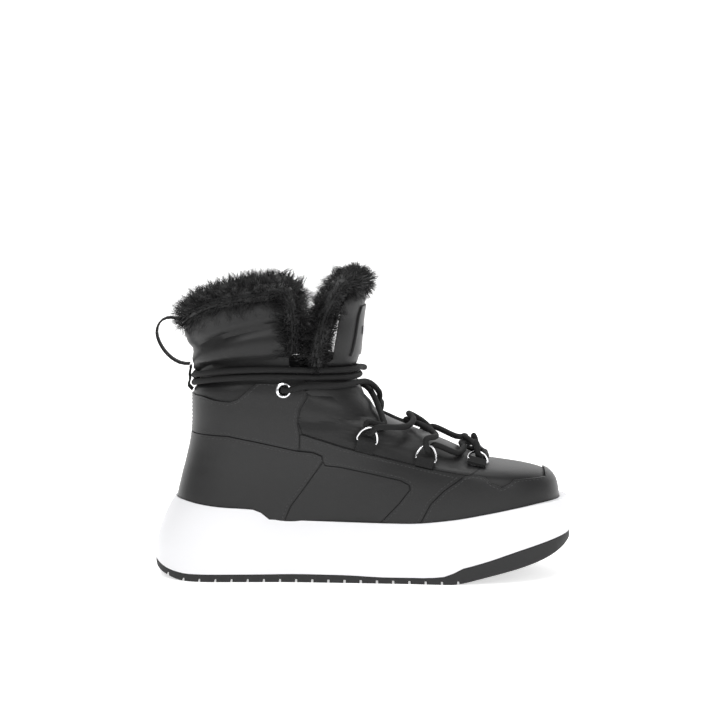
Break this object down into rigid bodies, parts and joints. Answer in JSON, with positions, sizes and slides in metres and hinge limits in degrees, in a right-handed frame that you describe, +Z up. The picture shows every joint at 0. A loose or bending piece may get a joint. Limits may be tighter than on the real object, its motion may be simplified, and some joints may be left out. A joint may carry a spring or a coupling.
{
  "type": "fur-lined ankle boot",
  "caption": "Black padded lace-up ankle boot with a fur-lined collar, silver D-rings, a white midsole and a lugged black outsole.",
  "frame": {"origin": "middle of the bounding box in plan, at the ground under the outsole", "axes": "+Z up, +X from the heel to the toe, +Y towards the inner (medial) side of a right shoe"},
  "size_m": [0.28, 0.1026, 0.2075],
  "materials": {
    "rubber": "matte black rubber with moulded lugs",
    "foam": "smooth white moulded foam, satin",
    "lining": "short black pile on the footbed",
    "fur": "long black pile, soft and clumped",
    "padded_leather": "padded synthetic leather, satin, soft creases",
    "overlay_leather": "synthetic leather overlays, satin, stitched edges",
    "panel_leather": "recessed synthetic leather panels",
    "metal": "bright silver wire and pressed metal",
    "lace_cord": "round braided cord, matte",
    "webbing": "flat woven webbing, matte"
  },
  "bodies": {
    "root": {"outsole": "rubber", "midsole": "foam", "insole": "lining", "upper": "padded_leather", "tongue": "padded_leather", "heel_counter": "overlay_leather", "quarter": "overlay_leather", "toe_guard": "overlay_leather", "eyestay_lateral": "overlay_leather", "eyestay_medial": "overlay_leather", "side_panel_lateral": "panel_leather", "side_panel_medial": "panel_leather", "eyelet_lateral": "metal", "eyelet_medial": "metal", "d_ring_1_lateral": "metal", "d_ring_1_medial": "metal", "d_ring_2_lateral": "metal", "d_ring_2_medial": "metal", "d_ring_3_lateral": "metal", "d_ring_3_medial": "metal", "ring_strap_1_lateral": "webbing", "ring_strap_1_medial": "webbing", "ring_strap_2_lateral": "webbing", "ring_strap_2_medial": "webbing", "ring_strap_3_lateral": "webbing", "ring_strap_3_medial": "webbing", "lace": "lace_cord", "collar_fur": "fur", "tongue_fur": "fur", "lace_keeper": "webbing", "pull_loop": "webbing", "tongue_patch": "overlay_leather", "tongue_badge": "metal"}
  },
  "joints": []
}
